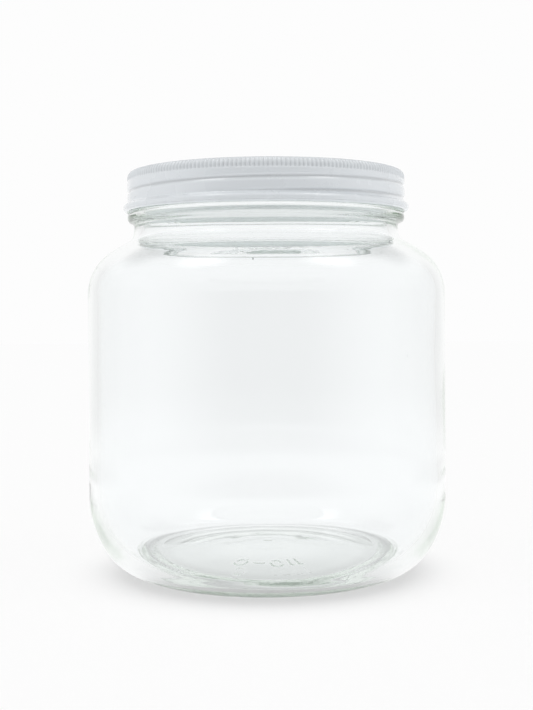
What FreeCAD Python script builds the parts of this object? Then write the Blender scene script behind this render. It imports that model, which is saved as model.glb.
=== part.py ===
"""A half-gallon, wide-mouth, straight-sided glass jar with its one-piece metal screw lid.

Millimetres, +Z up. The origin is the centre of the jar's base, on the surface that it stands on.
Azimuths are in degrees, anticlockwise from +X as seen from above, and the front is -Y.
"""

import FreeCAD, Part
import math
import os

# Jar body.
body_diameter = 143.2
shoulder_start_height = 111.2
wall_thickness = 3.75
floor_thickness = 5.6

# Heel: the curve from the bearing ring up into the straight wall, as two tangent arcs.
heel_lower_radius = 21.0
heel_upper_radius = 40.5
heel_upper_turn = 32.8

# Inside of the heel: a tight arc off the floor's edge, and a wide one from there up into the wall.
floor_edge_inset = 14.85
inner_heel_lower_radius = 4.5
inner_heel_lower_turn = 40.0

# Shoulder: two tangent arcs, a straight slope and the hollow fillet under the neck.
shoulder_lower_radius = 19.3
shoulder_lower_turn = 49.6
shoulder_upper_radius = 36.3
shoulder_slope_length = 4.2
shoulder_steepest_slope = 80.0
neck_fillet_radius = 5.1

# Underside: a flat bearing ring, notched round its outer edge, about a domed push-up.
bearing_ring_width = 4.0
push_up_height = 4.4
floor_crown_height = 4.6
stipple_count = 120
stipple_width = 1.1
stipple_depth = 0.35
stipple_inset = 1.6
mark_height = 0.4
mark_circle_radius = 30.0
mark_spacing = 6.8
mark_size = 4.6
mark_root = 1.8

# Finish: the jar's neck, handling bead, thread and sealing lip.
finish_diameter = 110.0
finish_height = 16.3
thread_pitch = 5.08
thread_height = 1.5
thread_root_width = 2.5
thread_crest_width = 1.0
thread_start_azimuth = -430.0
thread_end_azimuth = -35.0
neck_inset = 1.9
neck_straight_height = 1.35
bead_outset = 0.7
bead_hollow_radius = 1.6
bead_round_radius = 1.9
bead_flat_height = 1.0
bead_top_radius = 1.2
lip_outer_radius = 1.8
lip_inner_radius = 1.0

# Lid: one sheet of metal, knurled round its top edge, rolled to a thread and hemmed at the foot.
sheet_thickness = 0.3
lid_side_clearance = 0.55
hem_clearance = 0.3
lid_corner_radius = 2.6
hem_outset = 1.65
hem_height = 3.3
hem_hollow_radius = 1.1
knurl_count = 216
knurl_depth = 0.3
knurl_groove_radius = 0.68
knurl_bottom_below_top = 3.9
panel_depth = 0.9
crown_inset_from_bore = 0.3
panel_inset_from_bore = 2.2

# Rolled thread of the lid: its height at the front, where it starts and ends, and its section.
lid_thread_below_top = 7.1
lid_thread_depth = 0.7
lid_thread_radius = 1.15
lid_thread_start_azimuth = -445.0
lid_thread_end_azimuth = 20.0
front_azimuth = -90.0

# Sizes that follow from those above.
body_radius = body_diameter / 2
crest_radius = finish_diameter / 2
finish_radius = crest_radius - thread_height
neck_radius = crest_radius - neck_inset
bead_radius = crest_radius + bead_outset
bore_radius = neck_radius - wall_thickness
lid_inner_radius = crest_radius + lid_side_clearance
lid_radius = lid_inner_radius + sheet_thickness


class Pen:
    """Draws an outline in the XZ plane, heading given in degrees from +X towards +Z."""

    def __init__(self, x, z, heading):
        self.x = x
        self.z = z
        self.heading = heading
        self.edges = []

    def point(self):
        return FreeCAD.Vector(self.x, 0, self.z)

    def line_to(self, x, z):
        start = self.point()
        self.x = x
        self.z = z
        self.edges.append(Part.LineSegment(start, self.point()).toShape())

    def forward(self, length):
        angle = math.radians(self.heading)
        self.line_to(self.x + length * math.cos(angle), self.z + length * math.sin(angle))

    def _step_round(self, radius, turn):
        """Moves along an arc that turns left by turn degrees, or right where turn is negative."""
        side = math.copysign(1.0, turn)
        before = math.radians(self.heading)
        after = math.radians(self.heading + turn)
        self.x += side * radius * (math.sin(after) - math.sin(before))
        self.z += side * radius * (math.cos(before) - math.cos(after))
        self.heading += turn

    def arc(self, radius, turn):
        start = self.point()
        self._step_round(radius, turn / 2)
        middle = self.point()
        self._step_round(radius, turn / 2)
        self.edges.append(Part.Arc(start, middle, self.point()).toShape())

    def arc_to(self, middle_x, middle_z, x, z):
        start = self.point()
        middle = FreeCAD.Vector(middle_x, 0, middle_z)
        self.x = x
        self.z = z
        self.edges.append(Part.Arc(start, middle, self.point()).toShape())

    def revolve(self):
        """Closes the outline and turns it about the Z axis."""
        first = self.edges[0].Vertexes[0].Point
        if self.point().distanceToPoint(first) > 1e-6:
            self.line_to(first.x, first.z)
        face = Part.Face(Part.Wire(self.edges))
        solid = face.revolve(FreeCAD.Vector(0, 0, 0), FreeCAD.Vector(0, 0, 1), 360)
        return solid


def shoulder_width(slope, slope_length):
    """How far the shoulder comes in from the wall to the neck, for a slope from the vertical."""
    lower = math.radians(min(shoulder_lower_turn, slope))
    full = math.radians(slope)
    width = shoulder_lower_radius * (1 - math.cos(lower))
    width += shoulder_upper_radius * (math.cos(lower) - math.cos(full))
    width += slope_length * math.sin(full)
    width += neck_fillet_radius * (1 - math.cos(full))
    return width


def shoulder_slope():
    """The slope and slope length that land the shoulder on the neck."""
    wanted = body_radius - neck_radius
    low, high = 0.0, shoulder_steepest_slope
    widest = shoulder_width(high, shoulder_slope_length)
    if widest < wanted:
        extra = (wanted - widest) / math.sin(math.radians(high))
        return high, shoulder_slope_length + extra
    while high - low > 1e-9:
        middle = (low + high) / 2
        if shoulder_width(middle, shoulder_slope_length) < wanted:
            low = middle
        else:
            high = middle
    return low, shoulder_slope_length


def heel_foot_radius():
    """The radius at which the heel's outside has come down to level."""
    turned = math.cos(math.radians(heel_upper_turn))
    return body_radius - heel_upper_radius + (heel_upper_radius - heel_lower_radius) * turned


def shoulder_arcs(pen, thickness):
    """Draws the shoulder upwards; thickness 0 is the outside and more is an offset inside it."""
    slope, slope_length = shoulder_slope()
    lower = min(shoulder_lower_turn, slope)
    pen.arc(shoulder_lower_radius - thickness, lower)
    if slope > lower:
        pen.arc(shoulder_upper_radius - thickness, slope - lower)
    pen.forward(slope_length)
    pen.arc(neck_fillet_radius + thickness, -slope)


def shoulder_height():
    """The height of the shoulder from the top of the straight wall to the neck."""
    pen = Pen(0, 0, 90)
    shoulder_arcs(pen, 0)
    return pen.z


neck_height = shoulder_start_height + shoulder_height()
bead_turn = math.degrees(
    math.acos(1 - (bead_radius - neck_radius) / (bead_hollow_radius + bead_round_radius))
)
bead_rise = (bead_hollow_radius + bead_round_radius) * math.sin(math.radians(bead_turn))
bead_top_height = (
    neck_height + neck_straight_height + bead_rise + bead_flat_height + bead_top_radius
)
lip_height = bead_top_height + finish_height
lid_top_height = lip_height + sheet_thickness
lid_bottom_height = bead_top_height + hem_clearance
ring_outer_radius = heel_foot_radius()
ring_inner_radius = ring_outer_radius - bearing_ring_width


def dome_height(x, radius, rise):
    """The height, x away from its centre, of a round dome of that radius and rise."""
    sphere = (radius ** 2 + rise ** 2) / (2 * rise)
    return rise - sphere + math.sqrt(sphere ** 2 - x ** 2)


def draw_outside(pen):
    """From the bearing ring's outer edge up to the top of the sealing lip."""
    pen.arc(heel_lower_radius, 90 - heel_upper_turn)
    pen.arc(heel_upper_radius, heel_upper_turn)
    pen.forward(shoulder_start_height - pen.z)
    shoulder_arcs(pen, 0)
    pen.forward(neck_straight_height)
    pen.arc(bead_hollow_radius, -bead_turn)
    pen.arc(bead_round_radius, bead_turn)
    pen.forward(bead_flat_height)
    pen.arc(bead_top_radius, 90)
    pen.line_to(finish_radius, bead_top_height)
    pen.heading = 90
    pen.forward(finish_height - lip_outer_radius)
    pen.arc(lip_outer_radius, 90)


def inside_pen():
    """The inside from the neck down to the edge of the floor, drawn upwards from that edge."""
    inner_radius = body_radius - wall_thickness
    turned = math.sin(math.radians(inner_heel_lower_turn))
    upper_radius = (floor_edge_inset - inner_heel_lower_radius * turned) / (1 - turned)
    pen = Pen(inner_radius - floor_edge_inset, floor_thickness, 0)
    pen.arc(inner_heel_lower_radius, inner_heel_lower_turn)
    pen.arc(upper_radius, 90 - inner_heel_lower_turn)
    pen.forward(shoulder_start_height - pen.z)
    shoulder_arcs(pen, wall_thickness)
    pen.forward(lip_height - lip_inner_radius - pen.z)
    pen.arc(lip_inner_radius, -90)
    return pen


def make_vessel():
    """The jar without its thread, as a solid outside less a solid inside."""
    outside = Pen(0, push_up_height, 0)
    half_way = ring_inner_radius / 2
    middle = dome_height(half_way, ring_inner_radius, push_up_height)
    outside.arc_to(half_way, middle, ring_inner_radius, 0)
    outside.line_to(ring_outer_radius, 0)
    outside.heading = 0
    draw_outside(outside)
    outside.line_to(0, lip_height)

    inside = inside_pen()
    floor_edge = inside.edges[0].Vertexes[0].Point
    inside.line_to(0, lip_height)
    inside.line_to(0, floor_thickness + floor_crown_height)
    half_way = floor_edge.x / 2
    middle = floor_thickness + dome_height(half_way, floor_edge.x, floor_crown_height)
    inside.arc_to(half_way, middle, floor_edge.x, floor_edge.z)
    return outside.revolve().cut(inside.revolve())


def helix_point(radius, azimuth, height):
    angle = math.radians(azimuth)
    return FreeCAD.Vector(radius * math.cos(angle), radius * math.sin(angle), height)


def thread_height_at(azimuth):
    """The height of the lid's rolled thread, which climbs one pitch in a turn."""
    at_front = lid_top_height - lid_thread_below_top
    return at_front + thread_pitch * (azimuth - front_azimuth) / 360


def helix_path(radius, start_azimuth, end_azimuth, height_above_groove):
    """A helix that follows the lid's thread, in stretches of no more than a quarter turn."""
    count = math.ceil((end_azimuth - start_azimuth) / 90)
    span = (end_azimuth - start_azimuth) / count
    edges = []
    for index in range(count):
        azimuth = start_azimuth + index * span
        stretch = Part.makeHelix(thread_pitch, thread_pitch * span / 360, radius)
        stretch.rotate(FreeCAD.Vector(0, 0, 0), FreeCAD.Vector(0, 0, 1), azimuth)
        height = thread_height_at(azimuth) + height_above_groove
        stretch.translate(FreeCAD.Vector(0, 0, height))
        edges.extend(stretch.Edges)
    return Part.Wire(edges)


def sweep(path, section):
    shell = Part.BRepOffsetAPI.MakePipeShell(path)
    shell.setFrenetMode(True)
    shell.add(section)
    shell.build()
    shell.makeSolid()
    return Part.Solid(shell.shape())


def glass_thread():
    """The ridge on the jar's finish, half a pitch above the lid's rolled thread."""
    root = finish_radius - thread_height / 3
    raised = thread_pitch / 2
    start = thread_start_azimuth
    corners = []
    for radius, offset in (
        (root, -thread_root_width / 2),
        (crest_radius, -thread_crest_width / 2),
        (crest_radius, thread_crest_width / 2),
        (root, thread_root_width / 2),
    ):
        corners.append(helix_point(radius, start, thread_height_at(start) + raised + offset))
    section = Part.makePolygon(corners + corners[:1])
    return sweep(helix_path(root, start, thread_end_azimuth, raised), section)


def bearing_stipple():
    """The small radial notches round the outer edge of the bearing ring, as one cutter."""
    inner = ring_inner_radius + stipple_inset
    length = ring_outer_radius + bearing_ring_width / 2 - inner
    notches = []
    for index in range(stipple_count):
        notch = Part.makeCylinder(
            stipple_width / 2,
            length,
            FreeCAD.Vector(inner, 0, stipple_depth - stipple_width / 2),
            FreeCAD.Vector(1, 0, 0),
        )
        notch.rotate(FreeCAD.Vector(0, 0, 0), FreeCAD.Vector(0, 0, 1), 360 * index / stipple_count)
        notches.append(notch)
    return Part.makeCompound(notches)


def mould_marks():
    """Plain rings and bars raised on the push-up, in a short row in front of its centre."""
    kinds = ("ring", "bar", "ring", "bar")
    marks = []
    for index, kind in enumerate(kinds):
        across = (index - (len(kinds) - 1) / 2) * mark_spacing
        radius = math.hypot(across, mark_circle_radius)
        surface = dome_height(radius, ring_inner_radius, push_up_height)
        foot = FreeCAD.Vector(across, -mark_circle_radius, surface - mark_height)
        height = mark_height + mark_root
        if kind == "bar":
            mark = Part.makeBox(mark_size, mark_size / 4, height, foot)
            mark.translate(FreeCAD.Vector(-mark_size / 2, -mark_size / 8, 0))
        else:
            mark = Part.makeCylinder(mark_size / 2, height, foot)
            mark = mark.cut(Part.makeCylinder(mark_size / 4, height, foot))
        marks.append(mark)
    return marks


def make_jar():
    vessel = make_vessel().fuse(glass_thread())
    vessel = vessel.fuse(mould_marks())
    return vessel.cut(bearing_stipple())


def draw_hem(pen):
    """Round the hem from its foot to its widest, then back in to the lid's upright wall."""
    round_radius = hem_height / 2
    turn = math.degrees(math.acos(1 - hem_outset / (round_radius + hem_hollow_radius)))
    pen.arc(round_radius, 90 + turn)
    pen.arc(hem_hollow_radius, -turn)


def draw_panel(pen, top):
    """In over the sealing lip, then down to the lid's sunk middle and along it to the axis."""
    pen.line_to(bore_radius - crown_inset_from_bore, top)
    pen.line_to(bore_radius - panel_inset_from_bore, top - panel_depth)
    pen.line_to(0, top - panel_depth)


def make_lid_outside():
    """The lid's outer form, filled in."""
    pen = Pen(0, lid_bottom_height, 0)
    pen.line_to(lid_radius + hem_outset - hem_height / 2, lid_bottom_height)
    draw_hem(pen)
    pen.forward(lid_top_height - lid_corner_radius - pen.z)
    pen.arc(lid_corner_radius, 90)
    draw_panel(pen, lid_top_height)
    return pen.revolve()


def make_lid_inside():
    """The space inside the lid, one sheet thickness within its outer form."""
    knurl_bottom = lid_top_height - knurl_bottom_below_top
    knurl_inner_radius = lid_inner_radius - knurl_depth
    corner = lid_corner_radius - sheet_thickness
    top = lid_top_height - sheet_thickness
    pen = Pen(0, lid_bottom_height, 0)
    pen.line_to(lid_inner_radius, lid_bottom_height)
    pen.line_to(lid_inner_radius, knurl_bottom - knurl_depth)
    pen.line_to(knurl_inner_radius, knurl_bottom)
    pen.heading = 90
    pen.forward(top - corner - pen.z)
    pen.arc(corner, 90)
    draw_panel(pen, top)
    return pen.revolve()


def rolled_thread(radius):
    """The round roller's track along the lid's thread, with a ball at each end, as cutters."""
    centre = lid_radius - lid_thread_depth + lid_thread_radius
    start = helix_point(centre, lid_thread_start_azimuth, thread_height_at(lid_thread_start_azimuth))
    end = helix_point(centre, lid_thread_end_azimuth, thread_height_at(lid_thread_end_azimuth))
    rise = FreeCAD.Vector(0, 0, thread_pitch / (2 * math.pi))
    tangent = FreeCAD.Vector(0, 0, 1).cross(start) + rise
    section = Part.Wire([Part.makeCircle(radius, start, tangent)])
    path = helix_path(centre, lid_thread_start_azimuth, lid_thread_end_azimuth, 0)
    return [sweep(path, section), Part.makeSphere(radius, start), Part.makeSphere(radius, end)]


def knurl_grooves():
    """The upright grooves between the knurls round the lid's top edge, as one cutter."""
    centre = lid_radius - knurl_depth + knurl_groove_radius
    bottom = lid_top_height - knurl_bottom_below_top
    grooves = []
    for index in range(knurl_count):
        foot = FreeCAD.Vector(centre, 0, bottom)
        groove = Part.makeCylinder(knurl_groove_radius, knurl_bottom_below_top, foot)
        groove.rotate(FreeCAD.Vector(0, 0, 0), FreeCAD.Vector(0, 0, 1), 360 * index / knurl_count)
        grooves.append(groove)
    return Part.makeCompound(grooves)


def make_lid():
    lid = make_lid_outside()
    for cutter in rolled_thread(lid_thread_radius):
        lid = lid.cut(cutter)
    inside = make_lid_inside()
    for cutter in rolled_thread(lid_thread_radius + sheet_thickness):
        inside = inside.cut(cutter)
    return lid.cut(inside).cut(knurl_grooves())


def save(name, shape):
    solids = shape.Solids
    if len(solids) != 1 or not solids[0].isValid():
        raise RuntimeError(f"{name} came out as {len(solids)} solids, or as a faulty one")
    solids[0].exportStep(f"parts/{name}.step")
    print(f"{name}: {solids[0].Volume / 1000:.2f} cm3, {len(solids[0].Faces)} faces")


os.makedirs("parts", exist_ok=True)
save("jar", make_jar())
save("lid", make_lid())
print(f"neck at {neck_height:.2f}, bead top {bead_top_height:.2f}, lip {lip_height:.2f}")
print(f"lid from {lid_bottom_height:.2f} to {lid_top_height:.2f}")
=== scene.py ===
"""Looks of a half-gallon glass storage jar and its white metal screw lid.

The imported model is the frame. Lengths are in millimetres in this file until a mesh is made, and
metres after that. Azimuths are in degrees, anticlockwise from +X as seen from above. The front is -Y.
"""

import math

import bmesh
import bpy
import numpy as np
from mathutils import Matrix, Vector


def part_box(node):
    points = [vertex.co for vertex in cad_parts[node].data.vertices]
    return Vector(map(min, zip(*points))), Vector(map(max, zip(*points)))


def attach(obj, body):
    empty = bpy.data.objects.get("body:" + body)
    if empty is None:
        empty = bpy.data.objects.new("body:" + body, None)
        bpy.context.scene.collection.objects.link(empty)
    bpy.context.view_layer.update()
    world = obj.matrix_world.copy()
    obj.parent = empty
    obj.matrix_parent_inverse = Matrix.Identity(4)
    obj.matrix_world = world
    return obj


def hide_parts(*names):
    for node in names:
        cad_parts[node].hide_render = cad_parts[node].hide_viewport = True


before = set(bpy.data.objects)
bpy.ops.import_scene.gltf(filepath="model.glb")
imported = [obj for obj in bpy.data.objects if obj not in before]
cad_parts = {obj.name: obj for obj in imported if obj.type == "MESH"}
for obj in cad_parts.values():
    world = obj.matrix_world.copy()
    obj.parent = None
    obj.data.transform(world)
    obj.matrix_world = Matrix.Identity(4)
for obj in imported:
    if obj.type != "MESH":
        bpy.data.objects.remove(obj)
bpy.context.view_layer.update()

bl_info = {
    "name": "Glass storage jar",
    "version": (1, 0, 0),
    "blender": (4, 5, 0),
    "location": "View3D > Sidebar > Jar",
    "description": "Builds a clear glass jar with a knurled white screw lid",
    "category": "Add Mesh",
}

MM = 0.001
JAR_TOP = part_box("jar")[1][2] / MM
LID_BOTTOM, LID_TOP = [corner[2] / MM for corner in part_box("lid")]
FRONT = -90.0
# Points nearer than this are one point, and an arc has at least this many steps.
TOUCHING, LEAST_ARC_STEPS = 1e-6, 4


# ---------------------------------------------------------------- outlines and turned meshes


class Pen:
    """Draws half of a turned outline as points (radius, height), heading in degrees from +r."""

    def __init__(self, radius, height, heading, spacing=1.0):
        self.radius = radius
        self.height = height
        self.heading = heading
        self.spacing = spacing
        self.points = [(radius, height)]

    def line_to(self, radius, height):
        length = math.hypot(radius - self.radius, height - self.height)
        count = max(1, math.ceil(length / self.spacing))
        for step in range(1, count + 1):
            share = step / count
            self.points.append(
                (
                    self.radius + share * (radius - self.radius),
                    self.height + share * (height - self.height),
                )
            )
        self.radius = radius
        self.height = height

    def forward(self, length):
        angle = math.radians(self.heading)
        self.line_to(
            self.radius + length * math.cos(angle), self.height + length * math.sin(angle)
        )

    def rise_to(self, height):
        self.line_to(self.radius, height)

    def arc(self, radius, turn):
        """An arc that turns left by turn degrees, or right where turn is negative."""
        side = math.copysign(1.0, turn)
        count = max(LEAST_ARC_STEPS, math.ceil(radius * math.radians(abs(turn)) / self.spacing))
        start = math.radians(self.heading)
        first_radius, first_height = self.radius, self.height
        for step in range(1, count + 1):
            now = start + math.radians(turn) * step / count
            self.radius = first_radius + side * radius * (math.sin(now) - math.sin(start))
            self.height = first_height + side * radius * (math.cos(start) - math.cos(now))
            self.points.append((self.radius, self.height))
        self.heading += turn


def turned_mesh(name, rows, segments, shape=None):
    """A mesh of rings, one for each (radius, height) row. shape moves each ring's points.

    A row at radius 0 becomes a single point, and a list of rows that ends where it starts is closed.
    """
    closed = math.dist(rows[0], rows[-1]) < TOUCHING
    if closed:
        rows = rows[:-1]
    azimuth = np.linspace(0, 2 * math.pi, segments, endpoint=False)
    verts = []
    rings = []
    for index, (radius, height) in enumerate(rows):
        if radius < TOUCHING:
            rings.append([len(verts)])
            verts.append((0.0, 0.0, height * MM))
            continue
        ring_radius, ring_height = np.full(segments, radius), np.full(segments, height)
        if shape is not None:
            ring_radius, ring_height = shape(index, radius, height, azimuth)
        rings.append(list(range(len(verts), len(verts) + segments)))
        verts.extend(
            zip(
                (ring_radius * np.cos(azimuth) * MM).tolist(),
                (ring_radius * np.sin(azimuth) * MM).tolist(),
                (ring_height * MM).tolist(),
            )
        )
    faces = []
    pairs = list(zip(rings, rings[1:]))
    if closed:
        pairs.append((rings[-1], rings[0]))
    for low, high in pairs:
        if len(low) == 1 and len(high) == 1:
            continue
        for index in range(segments):
            after = (index + 1) % segments
            if len(low) == 1:
                faces.append((low[0], high[after], high[index]))
            elif len(high) == 1:
                faces.append((low[index], low[after], high[0]))
            else:
                faces.append((low[index], low[after], high[after], high[index]))
    mesh = bpy.data.meshes.new(name)
    mesh.from_pydata(verts, [], faces)
    mesh.validate()
    mesh.polygons.foreach_set("use_smooth", [True] * len(mesh.polygons))
    mesh.update()
    piece = bpy.data.objects.new(name, mesh)
    bpy.context.collection.objects.link(piece)
    return piece


def smooth_step(low, high, value):
    """0 below low and 1 above high, with a smooth change between."""
    share = np.clip((value - low) / (high - low), 0.0, 1.0)
    return share * share * (3 - 2 * share)


def fade_out(low, high, value):
    """1 below low and 0 above high."""
    return 1 - smooth_step(low, high, value)


# ---------------------------------------------------------------- sizes


class JarSizes(bpy.types.PropertyGroup):
    """Sizes of the glass, in millimetres."""

    body_diameter: bpy.props.FloatProperty(
        name="Body diameter", description="Across the straight wall", default=143.2, min=60
    )
    shoulder_start: bpy.props.FloatProperty(
        name="Shoulder start", description="Height of the straight wall's top", default=111.2
    )
    wall: bpy.props.FloatProperty(
        name="Wall", description="Thickness of the glass wall", default=3.75, min=1
    )
    floor: bpy.props.FloatProperty(
        name="Floor", description="Thickness of the glass at the floor's edge", default=5.6, min=1
    )
    push_up: bpy.props.FloatProperty(
        name="Push-up", description="How far the underside rises to its centre", default=4.4
    )
    floor_crown: bpy.props.FloatProperty(
        name="Floor crown", description="How far the inside floor rises to its centre", default=4.6
    )
    parting: bpy.props.FloatProperty(
        name="Parting height", description="Height of the mould's parting line", default=41.0
    )
    parting_step: bpy.props.FloatProperty(
        name="Parting step", description="How far the glass steps in below that line", default=0.12
    )
    waviness: bpy.props.FloatProperty(
        name="Waviness", description="Unevenness of the inside of the glass", default=0.12, min=0
    )
    ripple: bpy.props.FloatProperty(
        name="Ripple", description="Height of the fine ripple on the glass", default=0.03, min=0
    )
    tint: bpy.props.FloatVectorProperty(
        name="Glass tint", description="Colour of light through the surface", subtype="COLOR",
        size=3, default=(0.979, 0.988, 0.9935), min=0, max=1,
    )
    absorption: bpy.props.FloatProperty(
        name="Glass depth of colour", description="How strongly thick glass turns green", default=11.0
    )


class LidSizes(bpy.types.PropertyGroup):
    """Sizes and colour of the lid, lengths in millimetres."""

    diameter: bpy.props.FloatProperty(
        name="Lid diameter", description="Across the lid's upright wall", default=111.7, min=60
    )
    knurls: bpy.props.IntProperty(
        name="Knurls", description="Number of ridges round the top edge", default=216, min=24
    )
    groove_depth: bpy.props.FloatProperty(
        name="Rolled thread depth", description="Depth of the thread groove", default=0.7, min=0
    )
    colour: bpy.props.FloatVectorProperty(
        name="Enamel", description="Colour of the lid", subtype="COLOR", size=3,
        default=(0.79, 0.83, 0.865), min=0, max=1,
    )


class StageSizes(bpy.types.PropertyGroup):
    """Camera and surroundings."""

    distance: bpy.props.FloatProperty(
        name="Camera distance", description="From the jar's axis", default=0.475, unit="LENGTH"
    )
    height: bpy.props.FloatProperty(
        name="Camera height", description="Above the floor", default=0.1055, unit="LENGTH"
    )
    lens: bpy.props.FloatProperty(
        name="Lens", description="Focal length on a 36 mm sensor", default=59.37, unit="CAMERA"
    )
    shift: bpy.props.FloatProperty(
        name="Lens shift", description="Moves the view up, as a share of the view's height",
        default=-0.06760563,
    )


# ---------------------------------------------------------------- shared effects


class NodeSums:
    """Places arithmetic nodes in a node tree. A value is a socket or a plain number."""

    def __init__(self, tree):
        self.nodes = tree.nodes
        self.links = tree.links

    def put(self, value, socket):
        if isinstance(value, (int, float)):
            socket.default_value = value
        else:
            self.links.new(value, socket)

    def math(self, operation, *values):
        node = self.nodes.new("ShaderNodeMath")
        node.operation = operation
        for index, value in enumerate(values):
            self.put(value, node.inputs[index])
        return node.outputs[0]

    def add(self, first, second):
        return self.math("ADD", first, second)

    def subtract(self, first, second):
        return self.math("SUBTRACT", first, second)

    def times(self, first, second):
        return self.math("MULTIPLY", first, second)

    def ramp(self, value, low, high, at_low, at_high):
        """A smooth change from at_low to at_high as value goes from low to high."""
        node = self.nodes.new("ShaderNodeMapRange")
        node.interpolation_type = "SMOOTHSTEP"
        for socket, number in (
            ("From Min", low), ("From Max", high), ("To Min", at_low), ("To Max", at_high)
        ):
            node.inputs[socket].default_value = number
        self.links.new(value, node.inputs["Value"])
        return node.outputs["Result"]

    def mix(self, factor, first, second):
        """first where factor is 0, and second where it is 1."""
        node = self.nodes.new("ShaderNodeMix")
        self.links.new(factor, node.inputs["Factor"])
        self.put(first, node.inputs["A"])
        self.put(second, node.inputs["B"])
        return node.outputs["Result"]


def start_group(name, inputs, output):
    """A node group with one output. inputs are (name, value) pairs, where None is a direction."""
    group = bpy.data.node_groups.new(name, "ShaderNodeTree")
    for label, value in inputs:
        kind = "NodeSocketVector" if value is None else "NodeSocketFloat"
        socket = group.interface.new_socket(label, in_out="INPUT", socket_type=kind)
        if value is not None:
            socket.default_value = value
    group.interface.new_socket(output, in_out="OUTPUT", socket_type="NodeSocketFloat")
    return group, group.nodes.new("NodeGroupInput"), group.nodes.new("NodeGroupOutput")


def unevenness_group():
    """A node group for the slow waves and fine texture of a formed or sprayed surface."""
    group, entry, leave = start_group(
        "surface_unevenness", (("Wave Size", 8.0), ("Grain Size", 1.0), ("Grain Share", 0.1)), "Height"
    )
    sums = NodeSums(group)
    place = group.nodes.new("ShaderNodeTexCoord")
    parts = []
    for size in ("Wave Size", "Grain Size"):
        noise = group.nodes.new("ShaderNodeTexNoise")
        noise.inputs["Detail"].default_value = 2.0
        group.links.new(place.outputs["Object"], noise.inputs["Vector"])
        group.links.new(sums.math("DIVIDE", 1 / MM, entry.outputs[size]), noise.inputs["Scale"])
        parts.append(noise.outputs["Fac"])
    group.links.new(sums.mix(entry.outputs["Grain Share"], *parts), leave.inputs["Height"])
    return group


# How the studio's brightness changes with direction. Each change says where it starts and ends, and
# what it is there: in radians off the front or the back, or as parts of a direction of length 1.
FRONT_WIDTH, FRONT_STEEPNESS = (0.3, 1.5, 1.0, 0.0), (0.2, 0.6, 1.0, 0.0)
GAP_START, GAP_END = (0.40, 0.70, 0.0, 1.0), (1.15, 1.45, 1.0, 0.0)
GAP_STEEPNESS, GAP_DARKNESS = (0.25, 0.45, 1.0, 0.0), 0.11
OVERHEAD_START = (0.5, 0.9, 0.0, 1.0)
HIGH_BEHIND_UP, HIGH_BEHIND_BACK = (0.45, 0.65, 0.0, 1.0), (0.2, 0.5, 0.0, 1.0)
HIGH_BEHIND_DARKNESS = 0.5
LAMP_ASIDE, LAMP_AHEAD = 0.45, 0.12
LAMP_SPREAD, LAMP_UP = (0.04, 0.27, 1.0, 0.0), (0.1, 0.5, 0.0, 1.0)


def studio_darkness(sums, off_front, steepness, front_level):
    """What the studio lacks of white in front, and in the gaps beside the backdrop."""
    front = sums.times(sums.ramp(off_front, *FRONT_WIDTH), sums.ramp(steepness, *FRONT_STEEPNESS))
    dimmed = sums.times(front, sums.subtract(1.0, front_level))
    # Between the backdrop and the side cards the room shows, which draws the edges of the glass.
    off_back = sums.math("ABSOLUTE", sums.subtract(off_front, math.pi))
    gaps = sums.times(sums.ramp(off_back, *GAP_START), sums.ramp(off_back, *GAP_END))
    gaps = sums.times(gaps, sums.ramp(steepness, *GAP_STEEPNESS))
    return sums.add(dimmed, sums.times(gaps, GAP_DARKNESS))


def studio_lamps(sums, x, y, z, level):
    """Two soft lamps hang high up, to the left and right of the jar."""
    aside = sums.subtract(sums.math("ABSOLUTE", x), LAMP_ASIDE)
    ahead = sums.add(y, LAMP_AHEAD)
    off = sums.math("SQRT", sums.add(sums.times(aside, aside), sums.times(ahead, ahead)))
    lamps = sums.times(sums.ramp(off, *LAMP_SPREAD), sums.ramp(z, *LAMP_UP))
    return sums.times(lamps, level)


def studio_group():
    """How bright the studio is in a direction from the jar: about white all round, with two lamps."""
    group, entry, leave = start_group(
        "studio_brightness",
        (("Direction", None), ("Front", 0.44), ("Overhead", 0.88), ("Lamps", 1.9)),
        "Brightness",
    )
    sums = NodeSums(group)
    unit = group.nodes.new("ShaderNodeVectorMath")
    unit.operation = "NORMALIZE"
    group.links.new(entry.outputs["Direction"], unit.inputs[0])
    split = group.nodes.new("ShaderNodeSeparateXYZ")
    group.links.new(unit.outputs[0], split.inputs[0])
    x, y, z = split.outputs
    off_front = sums.math("ABSOLUTE", sums.add(sums.math("ARCTAN2", y, x), math.pi / 2))
    steepness = sums.math("ABSOLUTE", z)
    dark = studio_darkness(sums, off_front, steepness, entry.outputs["Front"])
    overhead = sums.times(
        sums.ramp(z, *OVERHEAD_START), sums.subtract(entry.outputs["Overhead"], 1.0)
    )
    # High up behind the jar the white stops and the room is a little darker.
    behind = sums.times(sums.ramp(z, *HIGH_BEHIND_UP), sums.ramp(y, *HIGH_BEHIND_BACK))
    overhead = sums.subtract(overhead, sums.times(behind, HIGH_BEHIND_DARKNESS))
    lamps = studio_lamps(sums, x, y, z, entry.outputs["Lamps"])
    bright = sums.add(sums.subtract(1.0, dark), sums.add(overhead, lamps))
    group.links.new(bright, leave.inputs["Brightness"])
    return group


GROUPS = {"surface_unevenness": unevenness_group, "studio_brightness": studio_group}


def place_group(tree, name, values):
    """Places a shared node group in a material or world with its own values."""
    node = tree.nodes.new("ShaderNodeGroup")
    node.node_tree = bpy.data.node_groups.get(name) or GROUPS[name]()
    for socket, value in values.items():
        node.inputs[socket].default_value = value
    return node


def place_studio(tree, direction):
    node = place_group(tree, "studio_brightness", {})
    tree.links.new(direction, node.inputs["Direction"])
    return node.outputs["Brightness"]


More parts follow.
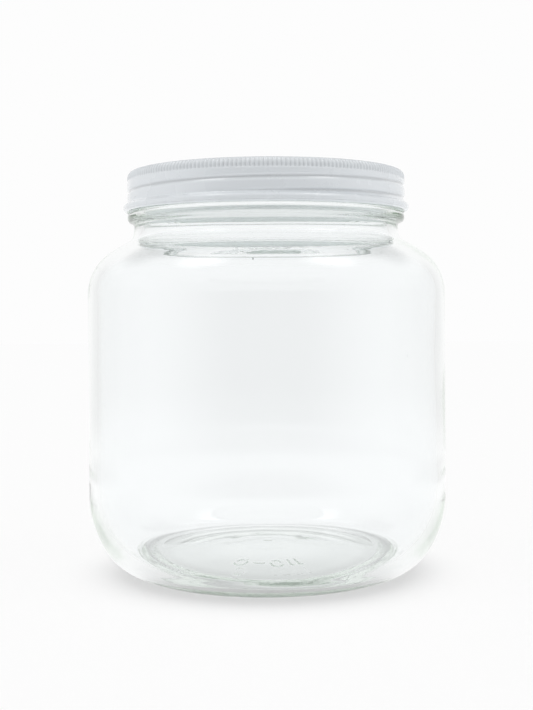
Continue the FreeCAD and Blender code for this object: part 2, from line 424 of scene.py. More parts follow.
def add_bump(material, height, strength, distance):
    bump = material.node_tree.nodes.new("ShaderNodeBump")
    bump.inputs["Strength"].default_value = strength
    bump.inputs["Distance"].default_value = distance * MM
    material.node_tree.links.new(height, bump.inputs["Height"])
    shader = material.node_tree.nodes["Principled BSDF"]
    material.node_tree.links.new(bump.outputs["Normal"], shader.inputs["Normal"])


# ---------------------------------------------------------------- glass

# Heel and shoulder arcs, in millimetres and degrees, as in the frame.
HEEL_LOWER_RADIUS, HEEL_UPPER_RADIUS, HEEL_UPPER_TURN = 21.0, 40.5, 32.8
SHOULDER_LOWER_RADIUS, SHOULDER_LOWER_TURN = 19.3, 49.6
SHOULDER_UPPER_RADIUS, SHOULDER_SLOPE = 36.3, 60.2
SLOPE_LENGTH, NECK_FILLET_RADIUS = 4.2, 5.1
# Inside floor: its radius, the tight arc off its edge, and how wide its finely meshed corner is.
FLOOR_RADIUS, INNER_HEEL_RADIUS, INNER_HEEL_TURN, CORNER_WIDTH = 53.0, 4.5, 40.0, 8.0
# Finish: neck, handling bead, thread and sealing lip.
FINISH_RADIUS, THREAD_PITCH = 53.5, 5.08
NECK_STRAIGHT, BEAD_HOLLOW, BEAD_ROUND, BEAD_TURN = 1.35, 1.6, 1.9, 75.1
BEAD_FLAT, BEAD_TOP_ROUND = 1.0, 1.2
LIP_OUTER_ROUND, LIP_INNER_ROUND = 1.8, 1.0
# The thread's height off the finish, its ends and how long they take, and its half width at the
# crest and at the root.
THREAD_RISE, THREAD_START, THREAD_END, THREAD_RUN_OUT = 1.5, -430.0, -35.0, 12
THREAD_CREST, THREAD_ROOT = 0.4, 1.35

# The bearing ring, and the notches round it: how many, how deep, and where across the ring they are.
RING_WIDTH = 4.0
STIPPLES, STIPPLE_DEPTH, STIPPLE_INSET, STIPPLE_HALF_WIDTH = 120, 0.35, 0.8, 1.2
# A round step in the middle of the underside, and half the width of its slope.
BAFFLE_RADIUS, BAFFLE_RISE, BAFFLE_SOFTNESS = 14.0, 0.12, 0.8
# Mould marks stand in rows: the row's radius and depth, then each mark's place in steps, and its kind.
MARK_SIZE, MARK_SPACING = 3.6, 6.8
MARK_ROWS = (
    (30.0, 0.6, ((-1.5, "ring"), (-0.5, "dash"), (0.5, "ring"), (1.5, "bars"))),
    (38.0, 0.3, ((-1.6, "ring"), (0.6, "bars"), (1.3, "bars"), (2.0, "bars"))),
)
# A ring's half width, the share of it where its line runs, and where that line's sides fade.
MARK_RING_WIDTH, MARK_RING_LINE, MARK_RING_FADE = 2.2, 0.8, (0.12, 0.3)
# A dash fades along and across; a pair of bars stands apart, and fades across and along.
DASH_LONG_FADE, DASH_WIDE_FADE = (1.4, 2.1), (0.4, 0.9)
BARS_APART, BARS_WIDE_FADE, BARS_LONG_FADE = 1.5, (0.3, 0.8), (2.4, 3.4)

# Slow waves of the glass: how often each goes round, and how much height it takes.
WAVE_KINDS = ((1, 60.0), (2, 45.0), (3, 70.0), (5, 30.0), (7, 38.0), (11, 22.0))
OUTER_SEED, INNER_SEED, RINGS_SEED, FLOOR_SEED = 11, 7, 19, 23
# Heights at which the waves come in outside, and come in and go out inside.
OUTER_WAVES_IN, INNER_WAVES_IN, INNER_WAVES_OUT = (30.0, 55.0), (30.0, 60.0), (128.0, 150.0)
OUTER_WAVES_SHARE, OUTER_WAVES_CHANGE, WAVES_BELOW_LID = 0.2, 0.35, 8
# The heel's wavier side: its azimuth and half width, its share, where it comes in, and its top.
WAVY_HEEL, WAVY_HEEL_WIDTH, WAVY_HEEL_SHARE = -12.0, 22, 0.5
WAVY_HEEL_IN, WAVY_HEEL_TOP = (8.0, 16.0), 60
# Slight rings where the floor meets the heel, and slow waves over the floor.
SETTLED_HEIGHT, SETTLED_WIDTH, RINGS_CLOSENESS, RINGS_WANDER = 0.10, 5, 2.4, 0.8
FLOOR_WAVES_IN, FLOOR_WAVES_TOP = (5, 20), 40
# Levels that tell the underside from the wall: just off the ground, and a share of the body's radius.
OFF_GROUND, UNDERSIDE_SHARE, PARTING_SOFTNESS, RADIUS_ALLOWANCE = 0.01, 0.6, 0.3, 0.1

# Bubbles in the glass: azimuth, radius, height and size, and how much taller than wide they are.
BUBBLES = ((-94.0, 66.0, 121.9, 0.3), (-165.0, 66.5, 120.0, 0.35), (25.0, 69.8, 84.0, 0.25))
BUBBLE_STRETCH = 1.6

# Glass: how it bends light, its colour in depth, and how strongly its ripple shows.
GLASS_IOR, GLASS_DEPTH_COLOUR, RIPPLE_STRENGTH = 1.52, (0.84, 0.89, 0.835, 1), 0.5
RIPPLE = {"Wave Size": 9.0, "Grain Size": 1.6, "Grain Share": 0.06}

# Points round the glass, and how far apart its rings of points are, outside and inside.
GLASS_SEGMENTS = 300
OUTSIDE_SPACING = {
    "push_up": 1.4, "marks": 0.5, "rim": 1.0, "ring": 0.8, "foot": 0.6, "heel": 1.1, "wall": 8.0,
    "shoulder": 1.3, "neck": 0.55,
}
INSIDE_SPACING = {
    "floor": 3.0, "corner": 0.5, "edge": 0.4, "heel": 1.4, "wall": 6.0, "shoulder": 1.3, "neck": 3.0,
}


def heel_foot(outer_radius, lower, upper):
    """Radius at which the heel has come down to level."""
    turn = math.radians(HEEL_UPPER_TURN)
    return outer_radius - upper + (upper - lower) * math.cos(turn)


def draw_shoulder(pen, inset):
    pen.arc(SHOULDER_LOWER_RADIUS - inset, SHOULDER_LOWER_TURN)
    pen.arc(SHOULDER_UPPER_RADIUS - inset, SHOULDER_SLOPE - SHOULDER_LOWER_TURN)
    pen.forward(SLOPE_LENGTH)
    pen.arc(NECK_FILLET_RADIUS + inset, -SHOULDER_SLOPE)


def dome_rows(radius, rise, base, stretch, spacing):
    """Rows over a stretch of a shallow dome, outwards, leaving out the stretch's far end."""
    sphere = (radius ** 2 + rise ** 2) / (2 * rise)
    near, far = stretch
    count = math.ceil((far - near) / spacing)
    rows = []
    for step in range(count):
        out = near + (far - near) * step / count
        rows.append((out, base + rise - sphere + math.sqrt(sphere ** 2 - out ** 2)))
    return rows


def outside_rows(sizes):
    """From the centre of the push-up, over the bearing ring, and up to the sealing lip."""
    body = sizes.body_diameter / 2
    ring_outer = heel_foot(body, HEEL_LOWER_RADIUS, HEEL_UPPER_RADIUS)
    ring_inner = ring_outer - RING_WIDTH
    marks_start = MARK_ROWS[0][0] - MARK_SIZE
    marks_end = MARK_ROWS[-1][0] + MARK_SIZE
    spacing = OUTSIDE_SPACING
    rows = []
    for stretch, kind in (
        ((0, marks_start), "push_up"),
        ((marks_start, marks_end), "marks"),
        ((marks_end, ring_inner), "rim"),
    ):
        rows += dome_rows(ring_inner, sizes.push_up, 0.0, stretch, spacing[kind])
    pen = Pen(ring_inner, 0.0, 0.0, spacing["ring"])
    pen.line_to(ring_outer, 0.0)
    pen.spacing = spacing["foot"]
    pen.arc(HEEL_LOWER_RADIUS, 90 - HEEL_UPPER_TURN)
    pen.spacing = spacing["heel"]
    pen.arc(HEEL_UPPER_RADIUS, HEEL_UPPER_TURN)
    pen.spacing = spacing["wall"]
    pen.rise_to(sizes.parting - PARTING_SOFTNESS)
    pen.rise_to(sizes.parting + PARTING_SOFTNESS)
    pen.rise_to(sizes.shoulder_start)
    pen.spacing = spacing["shoulder"]
    draw_shoulder(pen, 0.0)
    pen.spacing = spacing["neck"]
    pen.forward(NECK_STRAIGHT)
    pen.arc(BEAD_HOLLOW, -BEAD_TURN)
    pen.arc(BEAD_ROUND, BEAD_TURN)
    pen.forward(BEAD_FLAT)
    pen.arc(BEAD_TOP_ROUND, 90)
    pen.line_to(FINISH_RADIUS, pen.height)
    pen.heading = 90.0
    pen.rise_to(JAR_TOP - LIP_OUTER_ROUND)
    pen.arc(LIP_OUTER_ROUND, 90)
    return rows + pen.points


def inside_rows(sizes):
    """From the middle of the inside floor up to the sealing lip."""
    inner = sizes.body_diameter / 2 - sizes.wall
    lower = INNER_HEEL_RADIUS
    turn = math.radians(INNER_HEEL_TURN)
    foot = FLOOR_RADIUS
    upper = (inner - foot - lower * math.sin(turn)) / (1 - math.sin(turn))
    corner = foot - CORNER_WIDTH
    spacing = INSIDE_SPACING
    rows = dome_rows(foot, sizes.floor_crown, sizes.floor, (0, corner), spacing["floor"])
    rows += dome_rows(foot, sizes.floor_crown, sizes.floor, (corner, foot), spacing["corner"])
    pen = Pen(foot, sizes.floor, 0.0, spacing["edge"])
    pen.arc(lower, INNER_HEEL_TURN)
    pen.spacing = spacing["heel"]
    pen.arc(upper, 90 - INNER_HEEL_TURN)
    pen.spacing = spacing["wall"]
    pen.rise_to(sizes.shoulder_start)
    pen.spacing = spacing["shoulder"]
    draw_shoulder(pen, sizes.wall)
    pen.spacing = spacing["neck"]
    pen.rise_to(JAR_TOP - LIP_INNER_ROUND)
    pen.arc(LIP_INNER_ROUND, -90)
    return rows + pen.points


def waves(azimuth, height, seed, amplitude):
    """Slow, smooth unevenness over a turned wall, the same on every run."""
    draw = np.random.default_rng(seed)
    total = np.zeros_like(azimuth)
    for turns, lift in WAVE_KINDS:
        phase = draw.uniform(0, 2 * math.pi, 2)
        swell = np.sin(turns * azimuth + phase[0] + height / lift)
        total += swell * math.sin(height / lift * 2 + phase[1]) / turns ** 0.6
    return amplitude * total


def thread_level(azimuth_degrees):
    """Height of the lid's rolled thread, which climbs one pitch in a turn."""
    front = LID_TOP - GROOVE_BELOW_TOP
    return front + THREAD_PITCH * (azimuth_degrees - FRONT) / 360


def thread_bump(height, azimuth):
    """Height of the glass thread off the finish, from 0 to 1, half a pitch over the rolled one."""
    total = np.zeros_like(azimuth)
    for turn in (-2, -1, 0):
        along = np.degrees(azimuth) + 360 * turn
        off = np.abs(height - thread_level(along) - THREAD_PITCH / 2)
        ends = smooth_step(THREAD_START, THREAD_START + THREAD_RUN_OUT, along)
        ends = ends * fade_out(THREAD_END - THREAD_RUN_OUT, THREAD_END, along)
        total += ends * fade_out(THREAD_CREST, THREAD_ROOT, off)
    return total


def mark_relief(radius, azimuth):
    """Plain mould marks on the underside, as depths: rings, dashes and bars in two rows."""
    degrees = np.degrees(azimuth) % 360
    total = np.zeros_like(azimuth)
    for circle, depth, marks in MARK_ROWS:
        out = radius - circle
        if abs(out) > MARK_SIZE:
            continue
        for place, kind in marks:
            centre = (FRONT + math.degrees(place * MARK_SPACING / circle)) % 360
            across = np.radians(degrees - centre) * circle
            if kind == "ring":
                away = np.hypot(across / MARK_RING_WIDTH, out / MARK_SIZE)
                lift = fade_out(*MARK_RING_FADE, np.abs(away - MARK_RING_LINE))
            elif kind == "dash":
                lift = fade_out(*DASH_LONG_FADE, np.abs(across))
                lift = lift * fade_out(*DASH_WIDE_FADE, abs(out))
            else:
                lift = fade_out(*BARS_WIDE_FADE, np.abs(np.abs(across) - BARS_APART))
                lift = lift * fade_out(*BARS_LONG_FADE, abs(out))
            total = np.maximum(total, depth * lift)
    return total


def shape_glass_outside(sizes, radius, height, azimuth):
    """The thread, the marks and stipple of the underside, and the parting line's faint step."""
    radii = np.full(len(azimuth), radius)
    heights = np.full(len(azimuth), height)
    body = sizes.body_diameter / 2
    if height > LID_BOTTOM and radius > FINISH_RADIUS - RADIUS_ALLOWANCE:
        radii += THREAD_RISE * thread_bump(height, azimuth)
    elif OFF_GROUND < height < sizes.push_up + OFF_GROUND and radius < body * UNDERSIDE_SHARE:
        heights -= mark_relief(radius, azimuth)
        heights += BAFFLE_RISE * fade_out(-BAFFLE_SOFTNESS, BAFFLE_SOFTNESS, radius - BAFFLE_RADIUS)
    elif height < OFF_GROUND:
        ring_outer = heel_foot(body, HEEL_LOWER_RADIUS, HEEL_UPPER_RADIUS)
        across = abs(radius - (ring_outer - STIPPLE_INSET)) / STIPPLE_HALF_WIDTH
        notches = 0.5 + 0.5 * np.cos(STIPPLES * azimuth)
        heights += STIPPLE_DEPTH * max(0.0, 1 - across ** 2) * notches
    elif radius > body * UNDERSIDE_SHARE and height < LID_BOTTOM - WAVES_BELOW_LID:
        below = fade_out(-PARTING_SOFTNESS, PARTING_SOFTNESS, height - sizes.parting)
        radii -= sizes.parting_step * below
        fade = smooth_step(*OUTER_WAVES_IN, height)
        swell = 1 + waves(azimuth, height, OUTER_SEED, OUTER_WAVES_CHANGE)
        radii -= OUTER_WAVES_SHARE * fade * sizes.waviness * swell
    return radii, heights


def shape_glass_inside(sizes, radius, height, azimuth):
    """The slow unevenness of blown glass, with slight rings where the floor meets the heel."""
    fade = smooth_step(*INNER_WAVES_IN, height) * fade_out(*INNER_WAVES_OUT, height)
    off_right = np.abs((np.degrees(azimuth) - WAVY_HEEL + 180) % 360 - 180)
    heel = (1 - fade) * smooth_step(*WAVY_HEEL_IN, height) * float(height < WAVY_HEEL_TOP)
    fade = fade + heel * WAVY_HEEL_SHARE * np.exp(-((off_right / WAVY_HEEL_WIDTH) ** 2))
    radii = radius + fade * waves(azimuth, height, INNER_SEED, sizes.waviness)
    heights = np.full(len(azimuth), height)
    if radius > FLOOR_WAVES_IN[0] and height < FLOOR_WAVES_TOP:
        settle = math.exp(-(((radius - FLOOR_RADIUS) / SETTLED_WIDTH) ** 2))
        ripple = waves(azimuth, radius * 6, RINGS_SEED, SETTLED_HEIGHT)
        wander = RINGS_WANDER * np.sin(3 * azimuth)
        heights += settle * (ripple + SETTLED_HEIGHT * np.sin(radius * RINGS_CLOSENESS + wander))
        swell = waves(azimuth, radius * 2, FLOOR_SEED, 1.0)
        heights += SETTLED_HEIGHT * smooth_step(*FLOOR_WAVES_IN, radius) * swell
    return radii, heights


def add_bubble(bm, azimuth, radius, height, size):
    """A bubble in the glass: a small round surface that faces in to the air it holds."""
    angle = math.radians(azimuth)
    centre = (radius * math.cos(angle) * MM, radius * math.sin(angle) * MM, height * MM)
    scale = Matrix.Diagonal((size * MM, size * MM, BUBBLE_STRETCH * size * MM, 1))
    place = Matrix.Translation(centre) @ scale
    made = bmesh.ops.create_icosphere(bm, subdivisions=2, radius=1.0, matrix=place)
    faces = {face for vert in made["verts"] for face in vert.link_faces}
    bmesh.ops.reverse_faces(bm, faces=list(faces))
    for face in faces:
        face.smooth = True


class JAR_OT_build_glass(bpy.types.Operator):
    """Builds the glass jar in place of the frame's plain one"""

    bl_idname = "jar.build_glass"
    bl_label = "Glass jar"

    def execute(self, context):
        sizes = context.scene.jar_sizes
        outer = outside_rows(sizes)
        inner = inside_rows(sizes)
        side = [False] * len(outer) + [True] * len(inner)

        def shape(index, radius, height, azimuth):
            if side[index]:
                return shape_glass_inside(sizes, radius, height, azimuth)
            return shape_glass_outside(sizes, radius, height, azimuth)

        piece = turned_mesh("glass_jar", outer + inner[::-1], GLASS_SEGMENTS, shape)
        bm = bmesh.new()
        bm.from_mesh(piece.data)
        for azimuth, radius, height, size in BUBBLES:
            add_bubble(bm, azimuth, radius, height, size)
        bm.to_mesh(piece.data)
        bm.free()
        piece.data.materials.append(glass_material(sizes))
        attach(piece, "root")
        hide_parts("jar")
        return {"FINISHED"}


def glass_material(sizes):
    material = bpy.data.materials.new("clear_glass")
    material.use_nodes = True
    nodes = material.node_tree.nodes
    links = material.node_tree.links
    shader = nodes["Principled BSDF"]
    shader.inputs["Base Color"].default_value = (*sizes.tint, 1)
    shader.inputs["Transmission Weight"].default_value = 1.0
    shader.inputs["Roughness"].default_value = 0.0
    shader.inputs["IOR"].default_value = GLASS_IOR
    uneven = place_group(material.node_tree, "surface_unevenness", RIPPLE)
    add_bump(material, uneven.outputs["Height"], RIPPLE_STRENGTH, sizes.ripple)
    depth = nodes.new("ShaderNodeVolumeAbsorption")
    depth.inputs["Color"].default_value = GLASS_DEPTH_COLOUR
    depth.inputs["Density"].default_value = sizes.absorption
    links.new(depth.outputs["Volume"], nodes["Material Output"].inputs["Volume"])
    return material


# ---------------------------------------------------------------- lid

# The sheet's thickness, its rounded top edge and its sunk middle.
SHEET, LID_CORNER = 0.3, 2.6
PANEL_RADIUS, CROWN_RADIUS, PANEL_DEPTH = 47.15, 49.05, 0.9
# The knurled band and the faint step under it, as distances from the top, and how softly they end.
KNURL_TOP, KNURL_BOTTOM, KNURL_DEPTH = 0.6, 3.9, 0.5
KNURL_TOP_FADE, KNURL_BOTTOM_FADE = (-0.4, 0.3), (-0.3, 0.1)
STEP_BELOW_TOP, STEP_DEPTH, STEP_SOFTNESS = 5.2, 0.05, 0.25
# The rolled hem at the foot, and the fine lines round it.
HEM_OUTSET, HEM_HEIGHT, HEM_HOLLOW = 1.65, 3.3, 1.1
HEM_LINES, HEM_LINE_DEPTH, HEM_LINE_WIDTH = (0.9, 1.7), 0.26, 0.13
HEM_LINES_TOP, WALL_FOOT = 0.5, 0.8
# The rolled thread: its height at the front, its half width, its ends and how long they take, and the
# shares of the half width over which it fades above and below its middle.
GROOVE_BELOW_TOP, GROOVE_HALF_WIDTH = 7.1, 1.15
GROOVE_START, GROOVE_END, GROOVE_RUN_OUT = -490.0, 45.0, 70.0
GROOVE_ABOVE, GROOVE_BELOW = 0.5, 0.72
# Points to a knurl, and how far apart the lid's rings of points are, from its foot up and in.
POINTS_TO_A_KNURL = 4
LID_SPACING = {
    "foot": 0.17, "hem": 0.3, "wall": 0.33, "crown": 1.0, "panel": 12.0, "inner_wall": 1.1,
    "inner_crown": 2.0,
}
# How far in the metal is pressed where it is fully a hollow, and how dark and how narrow the shade is.
FULL_HOLLOW, HOLLOW_SHADE, HOLLOW_POWER = 0.6, 0.74, 2.0
# Lacquer inside the lid, and the gloss of each coat.
LACQUER, ENAMEL_GLOSS, LACQUER_GLOSS = (0.92, 0.93, 0.93), 0.8, 0.2
COAT_ROUGHNESS, COAT_IOR = 0.04, 2.0
ORANGE_PEEL = {"Wave Size": 14.0, "Grain Size": 0.7, "Grain Share": 0.12}
PEEL_STRENGTH, PEEL_HEIGHT = 0.4, 0.03
# The colour varies between these shares of itself, and the roughness between these values.
DARKER, LIGHTER, ROUGHNESS_CHANGE = 0.98, 1.02, (0.3, 0.7, 0.22, 0.32)


class JAR_OT_build_lid(bpy.types.Operator):
    """Builds the knurled, rolled and hemmed lid in place of the frame's plain one"""

    bl_idname = "jar.build_lid"
    bl_label = "Screw lid"

    def execute(self, context):
        sizes = context.scene.jar_lid
        rows, outside = lid_rows(sizes)
        segments = sizes.knurls * POINTS_TO_A_KNURL
        shape = lid_shape(sizes)
        piece = turned_mesh("screw_lid", rows, segments, shape)
        store_hollows(piece, rows, segments, shape)
        piece.data.materials.append(enamel_material("white_enamel", sizes.colour, ENAMEL_GLOSS))
        piece.data.materials.append(enamel_material("lid_lacquer", LACQUER, LACQUER_GLOSS))
        outside_faces = (outside - 1) * segments
        for polygon in piece.data.polygons:
            polygon.material_index = int(polygon.index >= outside_faces)
        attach(piece, "root")
        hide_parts("lid")
        return {"FINISHED"}


def lid_rows(sizes):
    """The lid's sheet, from its foot up its outside to the middle of the top, and back down inside.

    Also gives how many of the rows are outside.
    """
    radius = sizes.diameter / 2
    top = LID_TOP
    bottom = LID_BOTTOM
    hem_round = HEM_HEIGHT / 2
    turn = math.degrees(math.acos(1 - HEM_OUTSET / (hem_round + HEM_HOLLOW)))
    spacing = LID_SPACING
    pen = Pen(radius + HEM_OUTSET - hem_round, bottom, 0.0, spacing["foot"])
    pen.arc(hem_round, 90)
    pen.spacing = spacing["hem"]
    pen.arc(hem_round, turn)
    pen.arc(HEM_HOLLOW, -turn)
    pen.spacing = spacing["wall"]
    pen.rise_to(top - LID_CORNER)
    pen.arc(LID_CORNER, 90)
    pen.spacing = spacing["crown"]
    pen.line_to(CROWN_RADIUS, top)
    pen.line_to(PANEL_RADIUS, top - PANEL_DEPTH)
    pen.spacing = spacing["panel"]
    pen.line_to(0.0, top - PANEL_DEPTH)
    outside = pen.points
    pen = Pen(radius - SHEET, bottom, 90.0, spacing["inner_wall"])
    pen.rise_to(top - LID_CORNER)
    pen.arc(LID_CORNER - SHEET, 90)
    pen.spacing = spacing["inner_crown"]
    pen.line_to(CROWN_RADIUS, top - SHEET)
    pen.line_to(PANEL_RADIUS, top - SHEET - PANEL_DEPTH)
    pen.spacing = spacing["panel"]
    pen.line_to(0.0, top - SHEET - PANEL_DEPTH)
    inside = pen.points
    return outside + inside[::-1] + [outside[0]], len(outside)


def groove_depth_at(height, azimuth, depth):
    """How deep the rolled thread is at a height, all round: it climbs one pitch in a turn."""
    total = np.zeros_like(azimuth)
    degrees = np.degrees(azimuth)
    for turn in (-2, -1, 0):
        along = degrees + 360 * turn
        level = thread_level(along)
        ends = smooth_step(GROOVE_START, GROOVE_START + GROOVE_RUN_OUT, along)
        ends = ends * fade_out(GROOVE_END - GROOVE_RUN_OUT, GROOVE_END, along)
        off = (height - level) / GROOVE_HALF_WIDTH
        total += ends * np.exp(-((off / np.where(off > 0, GROOVE_ABOVE, GROOVE_BELOW)) ** 2))
    return depth * total


def store_hollows(piece, rows, segments, shape):
    """Keeps, at each point, how far it is pressed in, from 0 to 1: the enamel is painted darker there,
    as shade.
    """
    azimuth = np.linspace(0, 2 * math.pi, segments, endpoint=False)
    values = []
    for index, (radius, height) in enumerate(rows[:-1]):
        if radius < TOUCHING:
            values.append(0.0)
            continue
        moved = shape(index, radius, height, azimuth)[0]
        values.extend(np.clip((radius - moved) / FULL_HOLLOW, 0, 1).tolist())
    layer = piece.data.attributes.new("hollow", "FLOAT", "POINT")
    layer.data.foreach_set("value", values)


def lid_shape(sizes):
    """How the lid's rings are moved: the rolled thread, the knurls, the step and the hem's lines."""
    top = LID_TOP
    bottom = LID_BOTTOM
    wall = sizes.diameter / 2

    def shape(index, radius, height, azimuth):
        moved = np.full(len(azimuth), radius)
        if radius > wall - SHEET - RADIUS_ALLOWANCE / 2 and height > bottom + HEM_HEIGHT * WALL_FOOT:
            moved -= groove_depth_at(height, azimuth, sizes.groove_depth)
        from_top = top - height
        if radius > wall - LID_CORNER:
            start, full = KNURL_TOP_FADE
            band = smooth_step(KNURL_TOP + start, KNURL_TOP + full, from_top)
            start, gone = KNURL_BOTTOM_FADE
            band *= fade_out(KNURL_BOTTOM + start, KNURL_BOTTOM + gone, from_top)
            moved -= band * KNURL_DEPTH * (0.5 - 0.5 * np.cos(sizes.knurls * azimuth))
            moved -= STEP_DEPTH * smooth_step(
                -STEP_BELOW_TOP - STEP_SOFTNESS, -STEP_BELOW_TOP + STEP_SOFTNESS, -from_top
            )
        if height < bottom + HEM_HEIGHT * HEM_LINES_TOP and radius > wall - SHEET + RADIUS_ALLOWANCE:
            for level in HEM_LINES:
                off = (height - bottom - level) / HEM_LINE_WIDTH
                moved -= HEM_LINE_DEPTH * math.exp(-(off ** 2))
        return moved, np.full(len(azimuth), height)

    return shape


def enamel_material(name, colour, gloss):
    """Sprayed and baked enamel: a faint orange peel, slightly cloudy gloss, and a clear top coat."""
    material = bpy.data.materials.new(name)
    material.use_nodes = True
    nodes = material.node_tree.nodes
    links = material.node_tree.links
    shader = nodes["Principled BSDF"]
    shader.inputs["Coat Weight"].default_value = gloss
    shader.inputs["Coat Roughness"].default_value = COAT_ROUGHNESS
    shader.inputs["Coat IOR"].default_value = COAT_IOR
    uneven = place_group(material.node_tree, "surface_unevenness", ORANGE_PEEL)
    add_bump(material, uneven.outputs["Height"], PEEL_STRENGTH, PEEL_HEIGHT)
    shade = nodes.new("ShaderNodeMix")
    shade.data_type = "RGBA"
    shade.inputs["A"].default_value = (*[DARKER * part for part in colour], 1)
    shade.inputs["B"].default_value = (*[min(1.0, LIGHTER * part) for part in colour], 1)
    links.new(uneven.outputs["Height"], shade.inputs["Factor"])
    # Painted shade: the enamel's colour is darkened in the pressed-in hollows, more where they are
    # deeper.
    hollow = nodes.new("ShaderNodeAttribute")
    hollow.attribute_name = "hollow"
    hollow_painted_shade = nodes.new("ShaderNodeMix")
    hollow_painted_shade.data_type = "RGBA"
    hollow_painted_shade.inputs["B"].default_value = (*[HOLLOW_SHADE * part for part in colour], 1)
    links.new(shade.outputs["Result"], hollow_painted_shade.inputs["A"])
    deep = NodeSums(material.node_tree).math("POWER", hollow.outputs["Fac"], HOLLOW_POWER)
    links.new(deep, hollow_painted_shade.inputs["Factor"])
    links.new(hollow_painted_shade.outputs["Result"], shader.inputs["Base Color"])
    cloud = nodes.new("ShaderNodeMapRange")
    for socket, number in zip(("From Min", "From Max", "To Min", "To Max"), ROUGHNESS_CHANGE):
        cloud.inputs[socket].default_value = number
    links.new(uneven.outputs["Height"], cloud.inputs["Value"])
    links.new(cloud.outputs["Result"], shader.inputs["Roughness"])
    return material


# ---------------------------------------------------------------- stage

# From here on lengths are in metres.
WHITE = 0.982
FLOOR_HALF_SIZE, FLOOR_DROP = 3.0, 0.00005
SENSOR_WIDTH, CAMERA_CLIP, CAMERA_ROLL = 36.0, 0.01, 0.33
GLASS_BOUNCES, MATT_BOUNCES = 128, 8

# The floor as the view sees it: its grey, the light that this grey sends back, and the contact shadow's
# samples, reach, change with openness, sharpness and depth.
FLOOR_GREY, FLOOR_SENDS_BACK = 0.12, 0.116
SHADOW_SAMPLES, SHADOW_REACH, SHADOW_CHANGE = 16, 0.03, (0.1, 0.9, 1.0, 0.0)
SHADOW_SHARPNESS, SHADOW_DEPTH = 1.9, 0.29

# The floor as the jar and lid see it. Each change says where it starts and ends, and what it is there.
# These go by distance from the jar's axis: three steps of painted shade under the jar, the painted
# shadow beside its foot, the painted lift of light at the back, the studio's pattern further out, and
# painted green light under the jar.
SHADE_UNDER_MIDDLE, SHADE_UNDER_RIM, SHADE_UNDER_RING = (
    (0.010, 0.034, 0.92, 0.82), (0.036, 0.044, 1.0, 0.84), (0.0465, 0.0485, 1.0, 0.62)
)
SHADOW_AT_BACK, SHADOW_AT_FRONT = (0.0495, 0.0535, 0.0, 1.0), (0.0480, 0.0680, 0.0, 1.0)
BACK_LIFT, STUDIO_STARTS = (0.3, 1.1, 0.035, 0.0), (0.15, 0.8, 0.0, 1.0)
GREEN_REACH = (0.047, 0.055, 1.0, 0.0)
# These go by Y: where the front is, and where the back is.
IN_FRONT, AT_BACK = (-0.045, -0.02, 1.0, 0.0), (0.02, 0.15, 0.0, 1.0)
# Painted light: under the jar the floor glows a little green, as light that comes down through the
# glass would.
GREEN_LIGHT = (0.966, 0.985, 0.971, 1)


class JAR_OT_build_stage(bpy.types.Operator):
    """Lays the pale floor and sets the camera and the light"""

    bl_idname = "jar.build_stage"
    bl_label = "Stage"

    def execute(self, context):
        sizes = context.scene.jar_stage
        scene = context.scene
        scene.view_settings.view_transform = "Standard"
        floor = bpy.data.objects.new("floor", bpy.data.meshes.new("floor"))
        half = FLOOR_HALF_SIZE
        floor.data.from_pydata(
            [(-half, -half, 0), (half, -half, 0), (half, half, 0), (-half, half, 0)],
            [], [(0, 1, 2, 3)],
        )
        floor.location.z = -FLOOR_DROP
        context.collection.objects.link(floor)
        floor.data.materials.append(floor_material())
        scene.world = studio_world()
        data = bpy.data.cameras.new("camera")
        data.lens = sizes.lens
        data.sensor_width = SENSOR_WIDTH
        data.shift_y = sizes.shift
        data.clip_start = CAMERA_CLIP
        camera = bpy.data.objects.new("camera", data)
        camera.location = (0.0, -sizes.distance, sizes.height)
        camera.rotation_euler = (math.radians(90), math.radians(CAMERA_ROLL), 0)
        context.collection.objects.link(camera)
        scene.camera = camera
        scene.cycles.use_denoising = True
        scene.cycles.blur_glossy = 0.0
        scene.cycles.max_bounces = GLASS_BOUNCES
        scene.cycles.transmission_bounces = GLASS_BOUNCES
        scene.cycles.glossy_bounces = GLASS_BOUNCES
        scene.cycles.diffuse_bounces = MATT_BOUNCES
        return {"FINISHED"}


def floor_with_shadow(tree):
    """The floor for the view: nearly white, and darker where the jar stands close."""
    sums = NodeSums(tree)
    shader = tree.nodes["Principled BSDF"]
    shader.inputs["Base Color"].default_value = (FLOOR_GREY, FLOOR_GREY, FLOOR_GREY, 1)
    shader.inputs["Roughness"].default_value = 1.0
    shader.inputs["Specular IOR Level"].default_value = 0.0
    contact = tree.nodes.new("ShaderNodeAmbientOcclusion")
    contact.samples = SHADOW_SAMPLES
    contact.inputs["Distance"].default_value = SHADOW_REACH
    hidden = sums.ramp(contact.outputs["AO"], *SHADOW_CHANGE)
    shade = sums.times(sums.math("POWER", hidden, SHADOW_SHARPNESS), SHADOW_DEPTH)
    lit = sums.subtract(WHITE - FLOOR_SENDS_BACK, shade)
    shader.inputs["Emission Color"].default_value = (1, 1, 1, 1)
    tree.links.new(lit, shader.inputs["Emission Strength"])
    return shader.outputs["BSDF"]


def floor_brightness(sums, reach, y):
    """The floor's set pattern of painted light and shadow round the jar, by distance from the axis and
    by Y.
    """
    # Painted shade under the jar: three steps that dim the floor's own light out to the bearing ring.
    under = sums.ramp(reach, *SHADE_UNDER_MIDDLE)
    under = sums.times(under, sums.ramp(reach, *SHADE_UNDER_RIM))
    under = sums.times(under, sums.ramp(reach, *SHADE_UNDER_RING))
    # The shadow beside the foot is narrow behind the jar and wide in front of it.
    at_back = sums.ramp(reach, *SHADOW_AT_BACK)
    at_front = sums.ramp(reach, *SHADOW_AT_FRONT)
    outside = sums.mix(sums.ramp(y, *IN_FRONT), at_back, at_front)
    lift = sums.times(sums.ramp(y, *AT_BACK), sums.ramp(reach, *BACK_LIFT))
    return sums.mix(outside, under, sums.add(lift, WHITE))


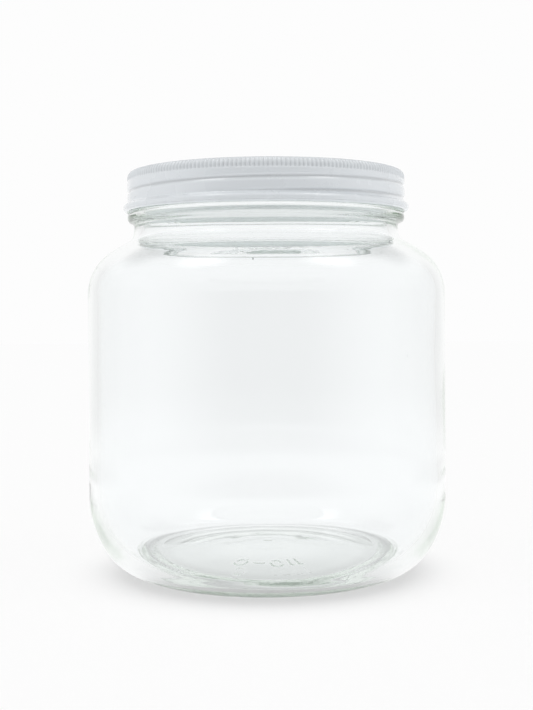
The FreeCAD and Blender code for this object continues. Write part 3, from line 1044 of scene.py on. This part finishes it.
def floor_with_pattern(tree):
    """The floor for the jar and lid: it gives its own light, in a set pattern."""
    sums = NodeSums(tree)
    place = tree.nodes.new("ShaderNodeNewGeometry").outputs["Position"]
    far = tree.nodes.new("ShaderNodeVectorMath")
    far.operation = "LENGTH"
    tree.links.new(place, far.inputs[0])
    reach = far.outputs["Value"]
    split = tree.nodes.new("ShaderNodeSeparateXYZ")
    tree.links.new(place, split.inputs[0])
    near = floor_brightness(sums, reach, split.outputs["Y"])
    change = sums.subtract(place_studio(tree, place), 1.0)
    change = sums.times(change, sums.ramp(reach, *STUDIO_STARTS))
    bright = tree.nodes.new("ShaderNodeEmission")
    tree.links.new(sums.times(near, sums.add(change, 1.0)), bright.inputs["Strength"])
    green = tree.nodes.new("ShaderNodeMix")
    green.data_type = "RGBA"
    tree.links.new(sums.ramp(reach, *GREEN_REACH), green.inputs["Factor"])
    green.inputs["A"].default_value = (1, 1, 1, 1)
    green.inputs["B"].default_value = GREEN_LIGHT
    tree.links.new(green.outputs["Result"], bright.inputs["Color"])
    return bright.outputs["Emission"]


def floor_material():
    """A pale matt floor. The view sees the jar's shadow on it, and glass and metal see its painted
    pattern of light and shadow.
    """
    material = bpy.data.materials.new("floor")
    material.use_nodes = True
    tree = material.node_tree
    path = tree.nodes.new("ShaderNodeLightPath")
    mix = tree.nodes.new("ShaderNodeMixShader")
    tree.links.new(path.outputs["Is Camera Ray"], mix.inputs["Fac"])
    tree.links.new(floor_with_pattern(tree), mix.inputs[1])
    tree.links.new(floor_with_shadow(tree), mix.inputs[2])
    tree.links.new(mix.outputs["Shader"], tree.nodes["Material Output"].inputs["Surface"])
    return material


def studio_world():
    """The view sees plain white behind the jar, and the jar and lid see the studio's pattern."""
    world = bpy.data.worlds.new("studio")
    world.use_nodes = True
    tree = world.node_tree
    sums = NodeSums(tree)
    background = tree.nodes["Background"]
    background.inputs["Color"].default_value = (1, 1, 1, 1)
    place = tree.nodes.new("ShaderNodeTexCoord")
    studio = place_studio(tree, place.outputs["Generated"])
    path = tree.nodes.new("ShaderNodeLightPath")
    seen = sums.mix(path.outputs["Is Camera Ray"], sums.times(studio, WHITE), WHITE)
    tree.links.new(seen, background.inputs["Strength"])
    return world


# ---------------------------------------------------------------- add-on


class JAR_PT_panel(bpy.types.Panel):
    """Lists the jar's pieces in the sidebar"""

    bl_label = "Glass storage jar"
    bl_idname = "JAR_PT_panel"
    bl_space_type = "VIEW_3D"
    bl_region_type = "UI"
    bl_category = "Jar"

    def draw(self, context):
        for operator in BUILDERS:
            self.layout.operator(operator.bl_idname)


BUILDERS = (JAR_OT_build_glass, JAR_OT_build_lid, JAR_OT_build_stage)
CLASSES = (JarSizes, LidSizes, StageSizes) + BUILDERS + (JAR_PT_panel,)


def register():
    for item in CLASSES:
        bpy.utils.register_class(item)
    bpy.types.Scene.jar_sizes = bpy.props.PointerProperty(type=JarSizes)
    bpy.types.Scene.jar_lid = bpy.props.PointerProperty(type=LidSizes)
    bpy.types.Scene.jar_stage = bpy.props.PointerProperty(type=StageSizes)


def unregister():
    del bpy.types.Scene.jar_sizes
    del bpy.types.Scene.jar_lid
    del bpy.types.Scene.jar_stage
    for item in reversed(CLASSES):
        bpy.utils.unregister_class(item)


def main():
    register()
    bpy.ops.jar.build_glass()
    bpy.ops.jar.build_lid()
    bpy.ops.jar.build_stage()


if __name__ == "__main__":
    main()
